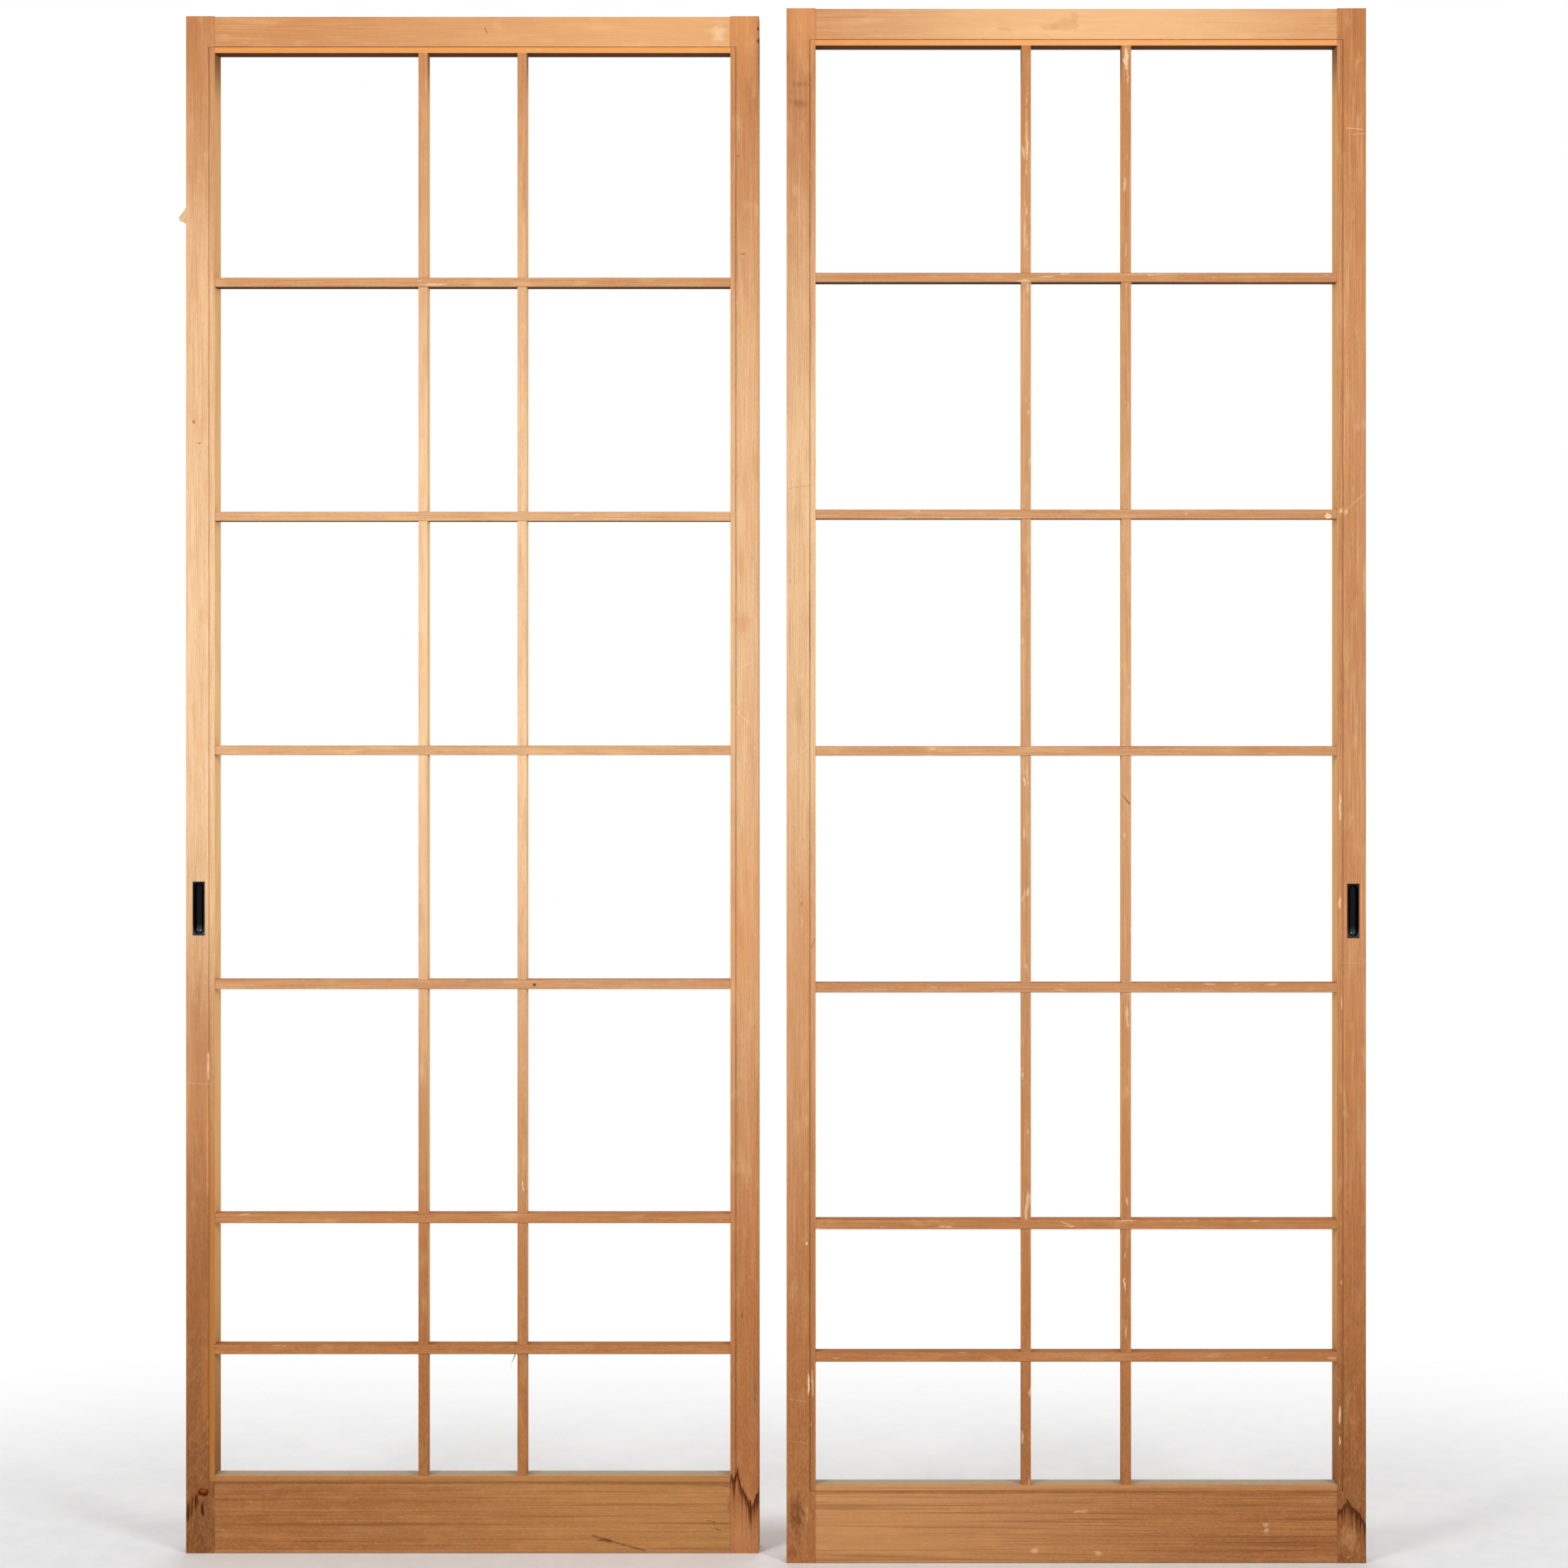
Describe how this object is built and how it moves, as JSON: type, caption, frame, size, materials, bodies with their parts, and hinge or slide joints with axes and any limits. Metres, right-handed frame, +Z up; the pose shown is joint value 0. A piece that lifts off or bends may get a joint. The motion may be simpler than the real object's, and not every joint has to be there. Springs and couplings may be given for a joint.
{
  "type": "pair of sliding lattice panels",
  "caption": "Pair of old wooden sliding lattice panels with the paper gone, each with a black finger pull let into its outer stile, made to pass each other on parallel tracks.",
  "frame": {"origin": "on the floor, midway between the two panels and midway between their two tracks", "axes": "+Z up, X along the tracks, -Y the paper side, which the picture shows"},
  "size_m": [1.375, 0.0636, 1.8],
  "materials": {
    "frame_wood": "planed softwood, bare and aged to orange brown, dry and worn",
    "lattice_wood": "planed softwood, bare, with thin pale paste left on its faces",
    "black_moulding": "glossy black"
  },
  "bodies": {
    "left_panel": {"left_outer_stile": "frame_wood", "left_meeting_stile": "frame_wood", "left_top_rail": "frame_wood", "left_bottom_rail": "frame_wood", "left_upright_bar_1": "lattice_wood", "left_upright_bar_2": "lattice_wood", "left_cross_bar_1": "lattice_wood", "left_cross_bar_2": "lattice_wood", "left_cross_bar_3": "lattice_wood", "left_cross_bar_4": "lattice_wood", "left_cross_bar_5": "lattice_wood", "left_cross_bar_6": "lattice_wood", "left_front_pull": "black_moulding", "left_back_pull": "black_moulding"},
    "right_panel": {"right_outer_stile": "frame_wood", "right_meeting_stile": "frame_wood", "right_top_rail": "frame_wood", "right_bottom_rail": "frame_wood", "right_upright_bar_1": "lattice_wood", "right_upright_bar_2": "lattice_wood", "right_cross_bar_1": "lattice_wood", "right_cross_bar_2": "lattice_wood", "right_cross_bar_3": "lattice_wood", "right_cross_bar_4": "lattice_wood", "right_cross_bar_5": "lattice_wood", "right_cross_bar_6": "lattice_wood", "right_front_pull": "black_moulding", "right_back_pull": "black_moulding"}
  },
  "joints": [
    {"name": "right_panel_slide", "type": "slide", "parent": "left_panel", "child": "right_panel", "axis": [1, 0, 0], "range_m": [-0.704, 0]}
  ]
}
